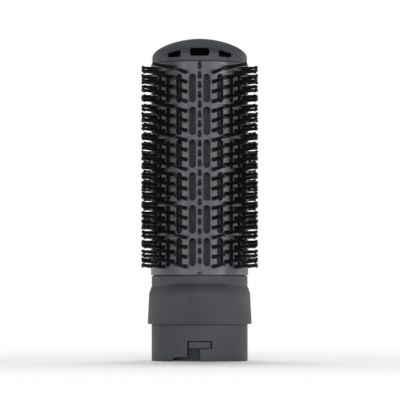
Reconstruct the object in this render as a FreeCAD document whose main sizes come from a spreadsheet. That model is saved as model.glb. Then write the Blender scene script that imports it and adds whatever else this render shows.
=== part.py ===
import FreeCAD, Part

import math
import os

import Sketcher
from FreeCAD import Placement, Rotation, Vector

# Head of a hot air brush: an oval, perforated sleeve with pins, a domed cap with vents, and a
# collar that leads down to a round bayonet socket. The head stands on the socket's rim.
# Millimetres, +Z up the axis, the narrow end of the oval to the front (-Y).

DOC = FreeCAD.newDocument("HotAirBrushHead")
SHEET = DOC.addObject("Spreadsheet::Sheet", "Sizes")

SIZES = [
    # Bayonet socket: a round tube that the handle's collar slides over.
    ("SocketRadius", 27.4),
    ("SocketWall", 2.4),
    ("SocketReach", 21.0),
    ("SocketSeat", 10.0),
    ("SocketSeatStep", 0.5),
    ("SocketRelief", 0.5),
    ("GuideStep", 0.2),
    ("GuideGap", 0.7),
    ("SocketClearance", 0.1),
    # Lug track, an L-shaped cut: an entry up from the rim and a level run to one side.
    ("TrackEntryWidth", 7.3),
    ("TrackRunWidth", 14.0),
    ("TrackRunHeight", 4.6),
    ("TrackFloor", 7.1),
    # Liner tube inside the socket.
    ("LinerGap", 1.5),
    ("LinerWall", 1.6),
    ("LinerSetback", 6.4),
    # Collar: round at its lower edge, oval at its neck.
    ("CollarRadius", 29.65),
    ("ShoulderRise", 17.0),
    ("ShoulderFlare", 1.1),
    ("ShoulderRound", 4.5),
    ("NeckInset", 0.4),
    ("NeckHeight", 6.3),
    ("UpstandHeight", 2.6),
    ("UpstandGap", 0.6),
    ("ThroatRadius", 18.6),
    ("KeyWidth", 2.4),
    ("KeyHeight", 1.4),
    ("KeyClearance", 0.15),
    # Sleeve: an oval of four tangent arcs, the tight ones to the front and rear.
    ("OvalEndRadius", 23.5),
    ("OvalSideRadius", 39.5),
    ("OvalEndSweep", 47.5),
    ("SleeveWall", 1.2),
    ("SleeveLength", 120.0),
    # Air slots, in columns between the columns of pins.
    ("SlotWidth", 3.8),
    ("SlotLand", 2.6),
    ("SlotFoot", 4.9),
    ("SlotTopMargin", 7.2),
    # Pin strips: a rail behind the sleeve, and a tongue that fills a slit in it.
    ("RailWidth", 3.4),
    ("RailThickness", 1.2),
    ("RailClearance", 0.15),
    ("TongueWidth", 2.4),
    ("TongueClearance", 0.1),
    ("SlitFoot", 3.2),
    ("SlitTopMargin", 2.0),
    # Pins. PinRise is how far a pin climbs for each millimetre that it reaches out.
    ("PinBase", 2.4),
    ("PinTip", 1.1),
    ("PinRise", 0.07),
    ("PinPitch", 5.46),
    ("PinFoot", 4.7),
    ("PinTopMargin", 3.3),
    ("PinReachFront", 17.0),
    ("PinReachSecond", 18.3),
    ("PinReachThird", 17.7),
    ("PinReachFourth", 14.9),
    ("PinReachFifth", 9.2),
    ("PinReachSide", 5.7),
    ("SidePinBase", 1.6),
    ("SidePinTip", 1.0),
    ("SidePinPitch", 4.36),
    # Air duct, the rings round it and the baffle on top of it.
    ("DuctDepth", 7.0),
    ("DuctWall", 1.4),
    ("DuctWindowWidth", 3.4),
    ("DuctWindowMargin", 12.0),
    ("RingHeight", 2.2),
    ("RingClearance", 0.1),
    ("BaffleThickness", 1.5),
    ("BaffleHole", 7.0),
    ("BaffleHoleOffset", 8.5),
    ("DeflectorWidth", 9.0),
    ("DeflectorHeight", 9.0),
    # End cap.
    ("CapInset", 0.7),
    ("CapHeight", 14.7),
    ("CapWallHeight", 4.6),
    ("SkirtReach", 3.6),
    ("SkirtWall", 1.8),
    ("CavityHeight", 10.5),
    ("CavityTopInset", 13.7),
    ("VentWidth", 10.9),
    ("VentHeight", 4.5),
    ("VentFoot", 3.0),
    ("VentCorner", 1.1),
    ("SideVentInner", 10.7),
    ("SideVentOuter", 17.8),
    ("SideVentFoot", 2.6),
    ("SideVentInnerHeight", 3.9),
    ("SideVentOuterHeight", 2.2),
    ("GrilleOffset", 17.4),
    ("GrilleThickness", 1.5),
    ("GrilleClearance", 0.15),
    ("LouvreHeight", 0.8),
    ("LouvrePitch", 1.45),
    ("LouvreFoot", 2.6),
]

for row, (alias, value) in enumerate(SIZES, start=1):
    SHEET.set(f"A{row}", alias)
    SHEET.set(f"B{row}", str(value))
    SHEET.setAlias(f"B{row}", alias)
DOC.recompute()


def size(alias):
    """A driving dimension, read from the sheet."""
    return float(SHEET.get(alias))


# Levels up the axis, as expressions on the sheet.
COLLAR_FOOT = "Sizes.SocketReach"
SHOULDER_LEVEL = f"({COLLAR_FOOT} + Sizes.ShoulderRise)"
NECK_FOOT = f"({SHOULDER_LEVEL} + Sizes.ShoulderRound)"
SLEEVE_FOOT = f"({NECK_FOOT} + Sizes.NeckHeight)"
SLEEVE_TOP = f"({SLEEVE_FOOT} + Sizes.SleeveLength)"
DUCT_FOOT = f"({SLEEVE_FOOT} + Sizes.UpstandHeight)"
SKIRT_FOOT = f"({SLEEVE_TOP} - Sizes.SkirtReach)"
DUCT_TOP = f"({SKIRT_FOOT} - Sizes.BaffleThickness)"
SEAT_LEVEL = f"({COLLAR_FOOT} + Sizes.SocketSeat)"
LINER_RADIUS = "(Sizes.SocketRadius - Sizes.SocketWall - Sizes.LinerGap)"


def level(expression):
    """The value of an expression on the sheet."""
    return float(SHEET.evalExpression(expression.replace("Sizes.", "")))


# The oval: tight arcs front and rear, wide arcs left and right, each tangent to the next.


def end_centre():
    """How far the tight arcs' centres lie from the axis, along Y."""
    spread = size("OvalSideRadius") - size("OvalEndRadius")
    return spread * math.cos(math.radians(size("OvalEndSweep")))


def side_centre():
    """How far the wide arcs' centres lie beyond the axis, along X."""
    spread = size("OvalSideRadius") - size("OvalEndRadius")
    return spread * math.sin(math.radians(size("OvalEndSweep")))


def half_width():
    """Half of the sleeve's width, along X."""
    return size("OvalSideRadius") - side_centre()


def half_depth():
    """Half of the sleeve's depth, along Y."""
    return size("OvalEndRadius") + end_centre()


# The oval's stations: equal steps along its outline, counted from the front towards +X.
# Pins stand at the even steps and air slots lie at the odd ones.
STEPS = 48
QUARTER = STEPS // 4
HALF = STEPS // 2
SLOT_STEPS = (1, 3, 5, 7, 9)
PIN_COLUMNS = [
    (2, "PinReachSecond"),
    (4, "PinReachThird"),
    (6, "PinReachFourth"),
    (8, "PinReachFifth"),
]


def station(step):
    """The point on the sleeve's outer face at a step, and the outward normal there."""
    end_radius = size("OvalEndRadius")
    side_radius = size("OvalSideRadius")
    sweep = math.radians(size("OvalEndSweep"))
    end_length = end_radius * sweep
    quarter_length = end_length + side_radius * (math.pi / 2 - sweep)
    folded = step % HALF
    folded = min(folded, HALF - folded)
    length = quarter_length * folded / QUARTER
    if length <= end_length:
        angle = length / end_radius
        point = Vector(0, -end_centre(), 0)
        radius = end_radius
    else:
        angle = sweep + (length - end_length) / side_radius
        point = Vector(-side_centre(), 0, 0)
        radius = side_radius
    normal = Vector(math.sin(angle), -math.cos(angle), 0)
    point += normal * radius
    mirror_x = -1 if step % STEPS > HALF else 1
    mirror_y = -1 if QUARTER < step % STEPS < HALF + QUARTER else 1
    point = Vector(point.x * mirror_x, point.y * mirror_y, 0)
    normal = Vector(normal.x * mirror_x, normal.y * mirror_y, 0)
    return point, normal


def station_placement(step):
    """A placement with its origin on the sleeve's face and its +Y axis outward."""
    point, normal = station(step)
    turn = math.degrees(math.atan2(normal.y, normal.x)) - 90
    return Placement(point, Rotation(Vector(0, 0, 1), turn))


# The head's outlines have a flat at every station, so a slot or a slit lies in one flat. What
# only the strips touch has a flat at every second station, behind the pins, and the duct has
# half as many.
EVERY_STATION = 1
PIN_STATIONS = 2
DUCT_STATIONS = 4


def meet(lines, height):
    """The corners where neighbouring lines meet; a line is a normal and its reach."""
    corners = []
    for (first, reach), (second, other_reach) in zip(lines, lines[1:] + lines[:1]):
        cross = first.x * second.y - first.y * second.x
        x = (reach * second.y - other_reach * first.y) / cross
        y = (first.x * other_reach - second.x * reach) / cross
        corners.append(Vector(x, y, height))
    return corners


def oval_corners(depth, height, stride=EVERY_STATION):
    """The corners of the oval moved inward by depth."""
    lines = []
    for step in range(0, STEPS, stride):
        point, normal = station(step)
        lines.append((normal, normal.dot(point) - depth))
    return meet(lines, height)


def round_corners(radius, height, stride=EVERY_STATION):
    """The corners of a ring whose flats face the same ways as the oval's."""
    return meet([(station(step)[1], radius) for step in range(0, STEPS, stride)], height)


def stack(sections):
    """A solid between outlines, one above another, whose corners match."""
    faces = []
    for corners in (sections[0], sections[-1]):
        faces.append(Part.Face(Part.makePolygon(corners + corners[:1])))
    for below, above in zip(sections, sections[1:]):
        for i in range(len(below)):
            j = (i + 1) % len(below)
            side = [below[i], below[j], above[j], above[i], below[i]]
            faces.append(Part.Face(Part.makePolygon(side)))
    solid = Part.Solid(Part.Shell(faces))
    if solid.Volume < 0:
        solid.reverse()
    return solid


def oval_prism(depth, foot, top, stride=EVERY_STATION):
    """An upright solid on the oval moved inward by depth."""
    return stack([oval_corners(depth, foot, stride), oval_corners(depth, top, stride)])


TUBE_SIDES = 24


def add_shape(name, shape):
    """A feature that holds a shape worked out from the sheet."""
    feature = DOC.addObject("Part::Feature", name)
    feature.Shape = shape
    return feature


def prism(name, radius, foot, height):
    """An upright prism of TUBE_SIDES sides; sizes are expressions."""
    solid = DOC.addObject("Part::Prism", name)
    solid.Polygon = TUBE_SIDES
    solid.setExpression("Circumradius", radius)
    solid.setExpression("Height", height)
    solid.setExpression("Placement.Base.z", foot)
    return solid


def fuse(name, pieces):
    """One solid from several."""
    solid = DOC.addObject("Part::MultiFuse", name)
    solid.Shapes = pieces
    return solid


def cut(name, base, tool):
    """A solid less a tool."""
    solid = DOC.addObject("Part::Cut", name)
    solid.Base = base
    solid.Tool = tool
    return solid


def body_plane(body, role):
    """One of a body's own origin features."""
    return next(item for item in body.Origin.OriginFeatures if item.Role == role)


def outline_sketch(body, name, role, corners):
    """A closed outline of straight lines; each corner is a pair of expressions."""
    sketch = body.newObject("Sketcher::SketchObject", name)
    sketch.AttachmentSupport = [(body_plane(body, role), "")]
    sketch.MapMode = "FlatFace"
    values = [Vector(level(x), level(y), 0) for x, y in corners]
    for start, end in zip(values, values[1:] + values[:1]):
        sketch.addGeometry(Part.LineSegment(start, end), False)
    count = len(values)
    for i in range(count):
        sketch.addConstraint(Sketcher.Constraint("Coincident", i, 2, (i + 1) % count, 1))
    for i, (x, y) in enumerate(corners):
        across = sketch.addConstraint(
            Sketcher.Constraint("DistanceX", -1, 1, i, 1, values[i].x)
        )
        sketch.setExpression(f"Constraints[{across}]", x)
        up = sketch.addConstraint(Sketcher.Constraint("DistanceY", -1, 1, i, 1, values[i].y))
        sketch.setExpression(f"Constraints[{up}]", y)
    return sketch


def octagon_slot(width, length, foot):
    """A slot's outline in the XZ plane, its ends rounded by three chords each."""
    half = width / 2
    nib = half * math.tan(math.pi / 8)
    drop = half - nib
    right = [(nib, 0), (half, drop), (half, length - drop), (nib, length)]
    left = [(-x, z) for x, z in reversed(right)]
    corners = [Vector(x, 0, foot + z) for x, z in right + left]
    return Part.makePolygon(corners + corners[:1])


def pierce(wire, reach):
    """A prism that runs through the sleeve's wall from an outline on its face."""
    prism = Part.Face(wire).extrude(Vector(0, 2 * reach, 0))
    prism.translate(Vector(0, -reach, 0))
    return prism


def mirrored_steps(step):
    """The same station in all four quarters."""
    return (step, HALF - step, HALF + step, STEPS - step)


# Barrel sleeve: an oval tube with air slots, slits for the strips' tongues and a notch that
# the collar's key fits.

SLOT_ROWS = 6
SLOT_SPAN = size("SleeveLength") - size("SlotFoot") - size("SlotTopMargin")
SLOT_PITCH = (SLOT_SPAN + size("SlotLand")) / SLOT_ROWS
SLOT_LENGTH = SLOT_PITCH - size("SlotLand")
SLIT_FOOT = level(SLEEVE_FOOT) + size("SlitFoot")
SLIT_TOP = level(SLEEVE_TOP) - size("SlitTopMargin")


def slot_foot(row):
    """The level of a slot's lower end."""
    return level(SLEEVE_FOOT) + size("SlotFoot") + row * SLOT_PITCH


def slot_cutters():
    """One prism for each air slot."""
    cutters = []
    reach = 2 * size("SleeveWall")
    for row in range(SLOT_ROWS):
        wire = octagon_slot(size("SlotWidth"), SLOT_LENGTH, slot_foot(row))
        for first in SLOT_STEPS:
            for step in mirrored_steps(first):
                cutter = pierce(wire, reach)
                cutter.Placement = station_placement(step).multiply(cutter.Placement)
                cutters.append(cutter)
    return cutters


def slit_cutters():
    """One prism for each strip's tongue."""
    width = size("TongueWidth") + 2 * size("TongueClearance")
    reach = 2 * size("SleeveWall")
    cutters = []
    for step in STRIP_STEPS:
        cutter = Part.makeBox(width, 2 * reach, SLIT_TOP - SLIT_FOOT)
        cutter.translate(Vector(-width / 2, -reach, SLIT_FOOT))
        cutter.Placement = station_placement(step).multiply(cutter.Placement)
        cutters.append(cutter)
    return cutters


def notch_cutter():
    """The prism of the notch in the sleeve's lower edge, front and centre."""
    width = size("KeyWidth") + 2 * size("KeyClearance")
    reach = 2 * size("SleeveWall")
    height = size("KeyHeight") + size("KeyClearance")
    foot = level(SLEEVE_FOOT)
    cutter = Part.makeBox(width, 2 * reach, 2 * height)
    cutter.translate(Vector(-width / 2, -reach - half_depth(), foot - height))
    return cutter


STRIPS = {"strip_front": (0, "PinReachFront"), "strip_rear": (HALF, "PinReachFront")}
for number, (first, reach_name) in enumerate(PIN_COLUMNS, start=1):
    right_front, right_rear, left_rear, left_front = mirrored_steps(first)
    STRIPS[f"strip_front_right_{number}"] = (right_front, reach_name)
    STRIPS[f"strip_rear_right_{number}"] = (right_rear, reach_name)
    STRIPS[f"strip_rear_left_{number}"] = (left_rear, reach_name)
    STRIPS[f"strip_front_left_{number}"] = (left_front, reach_name)
STRIPS["strip_right"] = (QUARTER, "PinReachSide")
STRIPS["strip_left"] = (HALF + QUARTER, "PinReachSide")
STRIP_STEPS = [step for step, _ in STRIPS.values()]


def make_sleeve():
    foot = level(SLEEVE_FOOT)
    top = level(SLEEVE_TOP)
    outer = add_shape("SleeveOuter", oval_prism(0, foot, top))
    inner = add_shape("SleeveInner", oval_prism(size("SleeveWall"), foot, top))
    tube = cut("SleeveTube", outer, inner)
    openings = slot_cutters() + slit_cutters() + [notch_cutter()]
    cutters = add_shape("SleeveCutters", Part.makeCompound(openings))
    return cut("barrel_sleeve", tube, cutters)


# Pin strips. Each kind is modelled once, in a frame with its origin on the sleeve's face and
# +Y outward, and then set in its column.


def add_box(body, name, width, depth, height, x, y, z):
    """A box in a body; every argument after the name is an expression."""
    box = body.newObject("PartDesign::AdditiveBox", name)
    box.setExpression("Length", width)
    box.setExpression("Width", depth)
    box.setExpression("Height", height)
    box.setExpression("Placement.Base.x", x)
    box.setExpression("Placement.Base.y", y)
    box.setExpression("Placement.Base.z", z)
    return box


def strip_kind(name, reach, base, tip, pitch, foot):
    """A rail with a tongue and a row of pins that rise and taper to an upright edge."""
    body = DOC.addObject("PartDesign::Body", name)
    slit_foot = f"{SLEEVE_FOOT} + Sizes.SlitFoot + Sizes.TongueClearance"
    length = (
        "Sizes.SleeveLength - Sizes.SlitFoot - Sizes.SlitTopMargin - 2 * Sizes.TongueClearance"
    )
    rail_back = "(Sizes.SleeveWall + Sizes.RailClearance + Sizes.RailThickness)"
    add_box(
        body,
        "Rail",
        "Sizes.RailWidth",
        "Sizes.RailThickness",
        length,
        "-Sizes.RailWidth / 2",
        f"-{rail_back}",
        slit_foot,
    )
    add_box(
        body,
        "Tongue",
        "Sizes.TongueWidth",
        rail_back,
        length,
        "-Sizes.TongueWidth / 2",
        f"-{rail_back}",
        slit_foot,
    )
    pin = body.newObject("PartDesign::AdditiveWedge", "Pin")
    pin.setExpression("Xmin", f"-{base} / 2")
    pin.setExpression("Xmax", f"{base} / 2")
    pin.setExpression("Zmin", f"-{base} / 2")
    pin.setExpression("Zmax", f"{base} / 2")
    pin.Ymin = 0
    pin.setExpression("Ymax", reach)
    pin.X2min = 0
    pin.X2max = 0
    pin.setExpression("Z2min", f"{reach} * Sizes.PinRise - {tip} / 2")
    pin.setExpression("Z2max", f"{reach} * Sizes.PinRise + {tip} / 2")
    pin.setExpression("Placement.Base.z", f"{SLEEVE_FOOT} + {foot}")
    pins = body.newObject("PartDesign::LinearPattern", "Pins")
    pins.Originals = [pin]
    pins.Direction = (body_plane(body, "Z_Axis"), [""])
    rows = f"floor((Sizes.SleeveLength - {foot} - Sizes.PinTopMargin) / {pitch})"
    pins.setExpression("Length", f"{rows} * {pitch}")
    pins.setExpression("Occurrences", f"{rows} + 1")
    body.Tip = pins
    return body


def make_strips():
    """All the strips, from one body for each kind."""
    straight = "Sizes.PinFoot"
    staggered = "(Sizes.PinFoot + Sizes.PinPitch / 2)"
    kinds = {}
    feet = {
        "PinReachFront": staggered,
        "PinReachSecond": straight,
        "PinReachThird": staggered,
        "PinReachFourth": straight,
        "PinReachFifth": staggered,
    }
    for reach, foot in feet.items():
        kind_name = reach.replace("PinReach", "StripKind")
        kinds[reach] = strip_kind(
            kind_name, f"Sizes.{reach}", "Sizes.PinBase", "Sizes.PinTip", "Sizes.PinPitch", foot
        )
    kinds["PinReachSide"] = strip_kind(
        "StripKindSide",
        "Sizes.PinReachSide",
        "Sizes.SidePinBase",
        "Sizes.SidePinTip",
        "Sizes.SidePinPitch",
        straight,
    )
    DOC.recompute()
    strips = []
    for name, (step, reach) in STRIPS.items():
        strip = add_shape(name, kinds[reach].Shape)
        strip.Placement = station_placement(step)
        strips.append(strip)
    return strips


# Air duct, the rings round it and the baffle that closes it.


def make_duct():
    foot = level(DUCT_FOOT)
    top = level(DUCT_TOP)
    depth = size("DuctDepth")
    inner_depth = depth + size("DuctWall")
    duct = oval_prism(depth, foot, top, DUCT_STATIONS)
    duct = duct.cut(oval_prism(inner_depth, foot, top, DUCT_STATIONS))
    width = size("DuctWindowWidth")
    margin = size("DuctWindowMargin")
    windows = []
    for step in range(DUCT_STATIONS, STEPS, 2 * DUCT_STATIONS):
        window = Part.makeBox(width, 4 * size("DuctWall"), top - foot - 2 * margin)
        window.translate(Vector(-width / 2, -depth - 3 * size("DuctWall"), foot + margin))
        window.Placement = station_placement(step).multiply(window.Placement)
        windows.append(window)
    return add_shape("air_duct", duct.cut(Part.makeCompound(windows)))


def make_rings():
    """Rings behind every second land between rows of slots."""
    outer_depth = size("SleeveWall") + 2 * size("RailClearance") + size("RailThickness")
    inner_depth = size("DuctDepth") - size("RingClearance")
    rings = []
    for number, row in enumerate(range(1, SLOT_ROWS, 2), start=1):
        middle = slot_foot(row) - size("SlotLand") / 2
        foot = middle - size("RingHeight") / 2
        top = middle + size("RingHeight") / 2
        ring = oval_prism(outer_depth, foot, top, PIN_STATIONS)
        ring = ring.cut(oval_prism(inner_depth, foot, top, DUCT_STATIONS))
        rings.append(add_shape(f"strip_ring_{number}", ring))
    return rings


def make_baffle():
    """A plate on the duct with air holes and a pyramid that spreads the stream."""
    foot = level(DUCT_TOP)
    top = level(SKIRT_FOOT)
    depth = size("SleeveWall") + 2 * size("RailClearance") + size("RailThickness")
    plate = oval_prism(depth, foot, top, PIN_STATIONS)
    hole = size("BaffleHole")
    offset = size("BaffleHoleOffset")
    for x in (-offset, offset):
        for y in (-offset, offset):
            corner = Vector(x - hole / 2, y - hole / 2, foot)
            plate = plate.cut(Part.makeBox(hole, hole, top - foot, corner))
    half = size("DeflectorWidth") / 2
    base = [Vector(x, y, foot) for x, y in ((-half, -half), (half, -half), (half, half), (-half, half))]
    tip = Part.Vertex(0, 0, foot - size("DeflectorHeight"))
    deflector = Part.makeLoft([tip, Part.makePolygon(base + base[:1])], True, True)
    return add_shape("duct_baffle", plate.fuse(deflector))


# Collar: round at its lower edge, flaring to the oval neck that the sleeve stands on.


# The shoulder's middle section: how much of the rise and of the drop it has taken.
SHOULDER_RISE = 0.6
SHOULDER_DROP = 0.46


def make_collar():
    round_level = level(SHOULDER_LEVEL) + SHOULDER_RISE * size("ShoulderRound")
    shoulder = size("ShoulderFlare")
    inset = size("NeckInset")
    softened = shoulder - SHOULDER_DROP * (shoulder + inset)
    sections = [
        round_corners(size("CollarRadius"), level(COLLAR_FOOT)),
        oval_corners(-shoulder, level(SHOULDER_LEVEL)),
        oval_corners(-softened, round_level),
        oval_corners(inset, level(NECK_FOOT)),
        oval_corners(inset, level(SLEEVE_FOOT)),
    ]
    outside = add_shape("CollarOutside", stack(sections))
    upstand_depth = size("SleeveWall") + size("UpstandGap")
    upstand = add_shape(
        "CollarUpstand",
        oval_prism(upstand_depth, level(SLEEVE_FOOT), level(DUCT_FOOT), PIN_STATIONS),
    )
    key = DOC.addObject("Part::Box", "CollarKey")
    key.setExpression("Length", "Sizes.KeyWidth")
    key.setExpression("Width", "Sizes.SleeveWall + 2 * Sizes.UpstandGap")
    key.setExpression("Height", "Sizes.KeyHeight")
    key.setExpression("Placement.Base.x", "-Sizes.KeyWidth / 2")
    key.setExpression("Placement.Base.y", f"Sizes.NeckInset - {half_depth()}")
    key.setExpression("Placement.Base.z", SLEEVE_FOOT)
    solid = fuse("CollarSolid", [outside, upstand, key])
    seat = level(SEAT_LEVEL)
    bore_radius = size("SocketRadius") - size("SocketSeatStep") + size("SocketClearance")
    bore = stack([
        round_corners(bore_radius, level(COLLAR_FOOT), PIN_STATIONS),
        round_corners(bore_radius, seat, PIN_STATIONS),
    ])
    throat = stack([
        round_corners(level(LINER_RADIUS) - size("LinerWall"), seat, PIN_STATIONS),
        round_corners(size("ThroatRadius"), level(DUCT_FOOT), PIN_STATIONS),
    ])
    return cut("collar", solid, add_shape("CollarBore", bore.fuse(throat)))


# Bayonet socket: a tube with two L-shaped lug tracks, front and rear. Above the tracks a round
# guide land centres the handle's collar, and the upper end steps in to seat in the collar.
SPIGOT_SIDES = 48


def add_prism(body, kind, name, radius, height):
    """A prism in a body, up from the rim, added or taken away; sizes are expressions."""
    solid = body.newObject(f"PartDesign::{kind}Prism", name)
    solid.Polygon = SPIGOT_SIDES
    solid.setExpression("Circumradius", radius)
    solid.setExpression("Height", height)
    return solid


def make_socket():
    body = DOC.addObject("PartDesign::Body", "SocketBody")
    land_top = f"({COLLAR_FOOT} - Sizes.SocketRelief)"
    land_foot = "(Sizes.TrackFloor + Sizes.TrackRunHeight + Sizes.GuideGap)"
    add_prism(body, "Additive", "Spigot", "Sizes.SocketRadius - Sizes.GuideStep", land_top)
    land = body.newObject("PartDesign::AdditiveCylinder", "GuideLand")
    land.setExpression("Radius", "Sizes.SocketRadius")
    land.setExpression("Height", f"{land_top} - {land_foot}")
    land.setExpression("Placement.Base.z", land_foot)
    add_prism(body, "Additive", "Seat", "Sizes.SocketRadius - Sizes.SocketSeatStep", SEAT_LEVEL)
    bore = add_prism(
        body, "Subtractive", "Bore", "Sizes.SocketRadius - Sizes.SocketWall", SEAT_LEVEL
    )
    DOC.recompute()
    solid_volume = bore.Shape.Volume

    left = "(-Sizes.TrackRunWidth / 2)"
    entry = "(Sizes.TrackEntryWidth - Sizes.TrackRunWidth / 2)"
    right = "(Sizes.TrackRunWidth / 2)"
    ceiling = "(Sizes.TrackFloor + Sizes.TrackRunHeight)"
    corners = [
        (left, "0"),
        (entry, "0"),
        (entry, "Sizes.TrackFloor"),
        (right, "Sizes.TrackFloor"),
        (right, ceiling),
        (left, ceiling),
    ]
    track_outline = outline_sketch(body, "TrackOutline", "XZ_Plane", corners)
    track = body.newObject("PartDesign::Pocket", "LugTrack")
    track.Profile = track_outline
    track.Type = "Length"
    track.setExpression("Length", "2 * Sizes.SocketRadius")
    track.Reversed = True
    DOC.recompute()
    if track.Shape.Volume > solid_volume - 1:
        raise RuntimeError("the lug track cuts nothing")

    pattern = body.newObject("PartDesign::PolarPattern", "LugTracks")
    pattern.Originals = [track]
    pattern.Axis = (body_plane(body, "Z_Axis"), [""])
    pattern.Angle = 360
    pattern.Occurrences = 2
    body.Tip = pattern

    DOC.recompute()
    return add_shape("bayonet_socket", pattern.Shape)


def make_liner():
    length = f"{SEAT_LEVEL} - Sizes.LinerSetback"
    bore = f"{LINER_RADIUS} - Sizes.LinerWall"
    outer = prism("LinerOuter", LINER_RADIUS, "Sizes.LinerSetback", length)
    inner = prism("LinerInner", bore, "Sizes.LinerSetback", length)
    return cut("socket_liner", outer, inner)


# End cap: a low dome with a skirt inside the strips, a cavity and three vents at
# the front and at the rear.


def cap_depth():
    """How far the skirt's outer flats lie under the sleeve's face."""
    return size("SleeveWall") + 2 * size("RailClearance") + size("RailThickness")


def cavity(clearance):
    """The cap's cavity, less a clearance all round."""
    foot = level(SLEEVE_TOP)
    depth = cap_depth() + size("SkirtWall") + clearance
    ceiling = foot + size("CavityHeight") - clearance
    return stack([
        oval_corners(depth, foot, PIN_STATIONS),
        oval_corners(size("CavityTopInset") + clearance, ceiling, PIN_STATIONS),
    ])


def vent_outlines():
    """The three vents, as outlines in the XZ plane."""
    foot = level(SLEEVE_TOP)
    half = size("VentWidth") / 2
    low = foot + size("VentFoot")
    high = low + size("VentHeight")
    corner = size("VentCorner")
    middle = [
        (-half + corner, low),
        (half - corner, low),
        (half, low + corner),
        (half, high - corner),
        (half - corner, high),
        (-half + corner, high),
        (-half, high - corner),
        (-half, low + corner),
    ]
    side_low = foot + size("SideVentFoot")
    inner = size("SideVentInner")
    outer = size("SideVentOuter")
    side = [
        (inner, side_low),
        (outer, side_low),
        (outer, side_low + size("SideVentOuterHeight")),
        (inner, side_low + size("SideVentInnerHeight")),
    ]
    return [middle, side, [(-x, z) for x, z in side]]


# Over an upright wall, the dome's profile is a quarter ellipse in straight bands, level on top.
DOME_BANDS = 6
DOME_TOP_ANGLE = 82


def make_cap():
    base = oval_corners(size("CapInset"), 0)
    top_angle = math.radians(DOME_TOP_ANGLE)
    spring = level(SLEEVE_TOP) + size("CapWallHeight")
    rise = (size("CapHeight") - size("CapWallHeight")) / math.sin(top_angle)
    sections = [oval_corners(size("CapInset"), level(SLEEVE_TOP))]
    for i in range(DOME_BANDS + 1):
        angle = top_angle * i / DOME_BANDS
        scale = math.cos(angle)
        height = spring + rise * math.sin(angle)
        sections.append([Vector(scale * p.x, scale * p.y, height) for p in base])
    dome = add_shape("CapDome", stack(sections))
    foot = level(SKIRT_FOOT)
    top = level(SLEEVE_TOP)
    inner_depth = cap_depth() + size("SkirtWall")
    skirt_shape = oval_prism(cap_depth(), foot, top, PIN_STATIONS)
    skirt_shape = skirt_shape.cut(oval_prism(inner_depth, foot, top, PIN_STATIONS))
    skirt = add_shape("CapSkirt", skirt_shape)
    reach = half_depth()
    vents = [cavity(0)]
    for outline in vent_outlines():
        corners = [Vector(x, -reach, z) for x, z in outline]
        face = Part.Face(Part.makePolygon(corners + corners[:1]))
        vents.append(face.extrude(Vector(0, 2 * reach, 0)))
    openings = add_shape("CapOpenings", vents[0].multiFuse(vents[1:]))
    return cut("end_cap", fuse("CapSolid", [dome, skirt]), openings)


def make_grilles():
    """A louvred plate in the cavity behind the vents of each end."""
    room = cavity(size("GrilleClearance"))
    foot = level(SLEEVE_TOP)
    offset = size("GrilleOffset")
    thickness = size("GrilleThickness")
    reach = half_width()
    slab = Part.makeBox(
        2 * reach,
        thickness,
        size("CavityHeight"),
        Vector(-reach, -offset - thickness, foot),
    )
    plate = slab.common(room)
    louvres = 1 + math.floor(
        (size("CavityHeight") - 2 * size("LouvreFoot")) / size("LouvrePitch")
    )
    for row in range(louvres):
        low = foot + size("LouvreFoot") + row * size("LouvrePitch")
        reach = size("VentWidth") / 2
        gap = Part.makeBox(
            2 * reach,
            3 * thickness,
            size("LouvreHeight"),
            Vector(-reach, -offset - 2 * thickness, low),
        )
        plate = plate.cut(gap)
    front = add_shape("vent_grille_front", plate)
    rear = add_shape("vent_grille_rear", plate)
    rear.Placement = Placement(Vector(0, 0, 0), Rotation(Vector(0, 0, 1), 180))
    return [front, rear]


PIECES = [make_sleeve(), *make_strips(), make_duct(), *make_rings(), make_baffle()]
PIECES += [make_collar(), make_socket(), make_liner(), make_cap(), *make_grilles()]
DOC.recompute()

for item in DOC.Objects:
    if "Invalid" in item.State or "Error" in item.State:
        raise RuntimeError(f"{item.Label} failed to rebuild: {item.State}")
for piece in PIECES:
    piece.Label = piece.Name
    if piece.Shape.isNull() or not piece.Shape.isValid():
        raise RuntimeError(f"{piece.Label} has no valid shape")

os.makedirs("parts", exist_ok=True)
for piece in PIECES:
    piece.Shape.exportStep(f"parts/{piece.Label}.step")
    solids = len(piece.Shape.Solids)
    print(f"{piece.Label}: {solids} solid(s), {piece.Shape.Volume:.1f} mm3")
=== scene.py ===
import math

import bmesh
import bpy
from mathutils import Matrix, Vector


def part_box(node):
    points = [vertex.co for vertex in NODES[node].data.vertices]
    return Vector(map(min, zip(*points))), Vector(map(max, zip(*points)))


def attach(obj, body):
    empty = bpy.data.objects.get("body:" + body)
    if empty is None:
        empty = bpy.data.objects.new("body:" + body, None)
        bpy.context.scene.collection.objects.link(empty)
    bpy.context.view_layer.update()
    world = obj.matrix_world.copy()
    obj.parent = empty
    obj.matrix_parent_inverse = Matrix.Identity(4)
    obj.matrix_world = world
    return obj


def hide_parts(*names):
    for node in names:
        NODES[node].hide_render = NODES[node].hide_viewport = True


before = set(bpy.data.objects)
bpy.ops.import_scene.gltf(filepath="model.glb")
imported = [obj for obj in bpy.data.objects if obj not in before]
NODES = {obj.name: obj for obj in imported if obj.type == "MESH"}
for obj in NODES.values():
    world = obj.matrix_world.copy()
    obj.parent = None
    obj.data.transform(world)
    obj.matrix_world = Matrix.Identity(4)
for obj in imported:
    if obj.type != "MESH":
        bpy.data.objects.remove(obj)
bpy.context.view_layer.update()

MM = 0.001

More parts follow.
